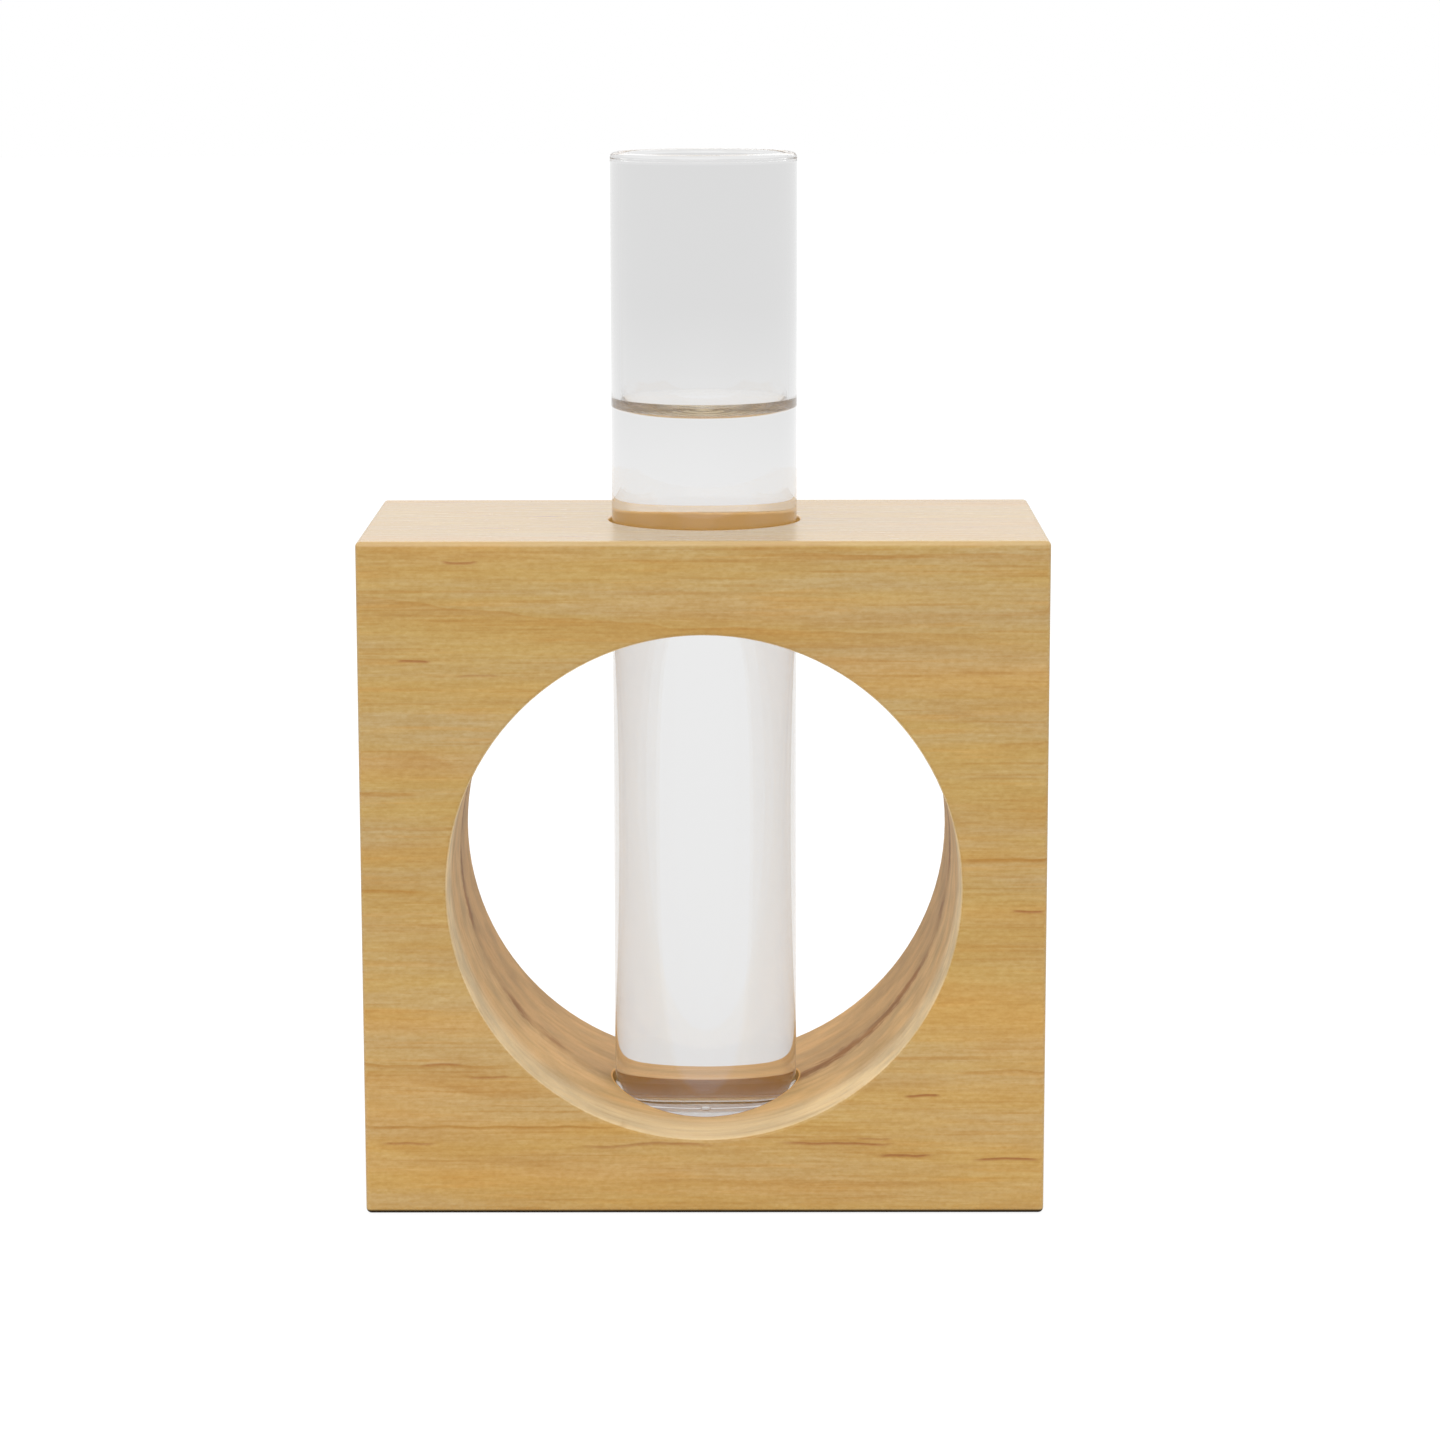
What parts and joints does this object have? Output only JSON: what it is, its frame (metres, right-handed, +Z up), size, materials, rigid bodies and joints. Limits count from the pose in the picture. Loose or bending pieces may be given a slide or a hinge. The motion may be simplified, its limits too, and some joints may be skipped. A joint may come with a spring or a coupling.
{
  "type": "test tube vase",
  "caption": "Glass test tube of water standing in a wooden block that has a round window; the tube lifts out to be filled.",
  "frame": {"origin": "middle of the wooden stand's underside, on the surface that it stands on", "axes": "+Z up along the tube, +X to the right across the stand's face, and +Y through the window towards the back, so the front faces -Y"},
  "size_m": [0.1, 0.05, 0.1544],
  "materials": {
    "oiled_wood": "satin",
    "clear_glass": "polished",
    "water": "gloss"
  },
  "bodies": {
    "stand": {"wooden_stand": "oiled_wood"},
    "tube": {"glass_tube": "clear_glass", "water": "water"}
  },
  "joints": [
    {"name": "tube_lift", "type": "slide", "parent": "stand", "child": "tube", "axis": [0, 0, 1], "range_m": [0, 0.105]}
  ]
}
